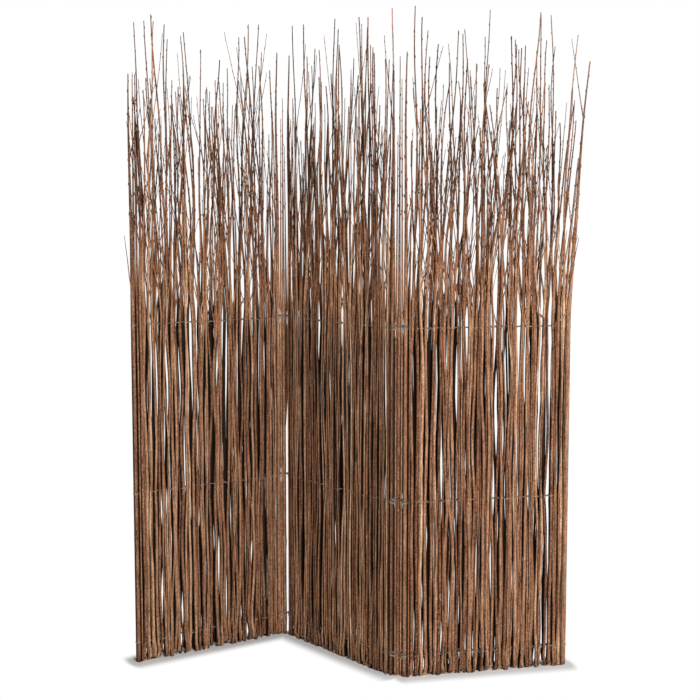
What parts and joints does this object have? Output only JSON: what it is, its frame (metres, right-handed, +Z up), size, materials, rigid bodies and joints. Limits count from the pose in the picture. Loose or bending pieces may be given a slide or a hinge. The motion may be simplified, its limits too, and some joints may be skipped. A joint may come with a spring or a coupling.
{
  "type": "willow screen",
  "caption": "Free-standing folding screen of upright willow rods in hinged panels, bound with wire and joined by wire ties that let it fold flat",
  "frame": {"origin": "on the floor, in the middle of the rectangle that the zigzag takes up", "axes": "+Z up along the rods, +X from the left panel to the right panel as seen from the front, +Y from the front to the back"},
  "size_m": [1.336, 0.4122, 1.8097],
  "materials": {
    "willow_rods": "dry willow bark, red brown to grey brown",
    "end_rods": "dry willow bark",
    "cross_rods": "dull dark steel",
    "binding_wire": "dull galvanised wire",
    "ties": "dull weathered wire"
  },
  "bodies": {
    "left_panel": {"left_front_rods": "willow_rods", "left_back_rods": "willow_rods", "left_left_end_rod": "end_rods", "left_right_end_rod": "end_rods", "left_bottom_cross_rod": "cross_rods", "left_bottom_binding_wire": "binding_wire", "left_middle_cross_rod": "cross_rods", "left_middle_binding_wire": "binding_wire", "left_top_cross_rod": "cross_rods", "left_top_binding_wire": "binding_wire"},
    "centre_panel": {"centre_front_rods": "willow_rods", "centre_back_rods": "willow_rods", "centre_left_end_rod": "end_rods", "centre_right_end_rod": "end_rods", "centre_bottom_cross_rod": "cross_rods", "centre_bottom_binding_wire": "binding_wire", "centre_middle_cross_rod": "cross_rods", "centre_middle_binding_wire": "binding_wire", "centre_top_cross_rod": "cross_rods", "centre_top_binding_wire": "binding_wire"},
    "right_panel": {"right_front_rods": "willow_rods", "right_back_rods": "willow_rods", "right_left_end_rod": "end_rods", "right_right_end_rod": "end_rods", "right_bottom_cross_rod": "cross_rods", "right_bottom_binding_wire": "binding_wire", "right_middle_cross_rod": "cross_rods", "right_middle_binding_wire": "binding_wire", "right_top_cross_rod": "cross_rods", "right_top_binding_wire": "binding_wire"},
    "rear_ties": {"rear_bottom_tie": "ties", "rear_middle_tie": "ties", "rear_top_tie": "ties"},
    "front_ties": {"front_bottom_tie": "ties", "front_middle_tie": "ties", "front_top_tie": "ties"}
  },
  "joints": [
    {"name": "rear_tie_turn", "type": "hinge", "parent": "centre_panel", "child": "rear_ties", "pos_m": [-0.18555, 0.18989, 0], "axis": [0, 0, 1], "range_deg": [-42, 48]},
    {"name": "left_panel_turn", "type": "hinge", "parent": "rear_ties", "child": "left_panel", "pos_m": [-0.22131, 0.19556, 0], "axis": [0, 0, 1], "range_deg": [-42, 48]},
    {"name": "front_tie_turn", "type": "hinge", "parent": "centre_panel", "child": "front_ties", "pos_m": [0.11331, -0.17918, 0], "axis": [0, 0, 1], "range_deg": [-31.5, 58.5]},
    {"name": "right_panel_turn", "type": "hinge", "parent": "front_ties", "child": "right_panel", "pos_m": [0.14744, -0.19126, 0], "axis": [0, 0, 1], "range_deg": [-31.5, 58.5]}
  ],
  "couplings": [
    {"joint": "rear_tie_turn", "follows": "left_panel_turn", "ratio": 1},
    {"joint": "front_tie_turn", "follows": "right_panel_turn", "ratio": 1}
  ]
}
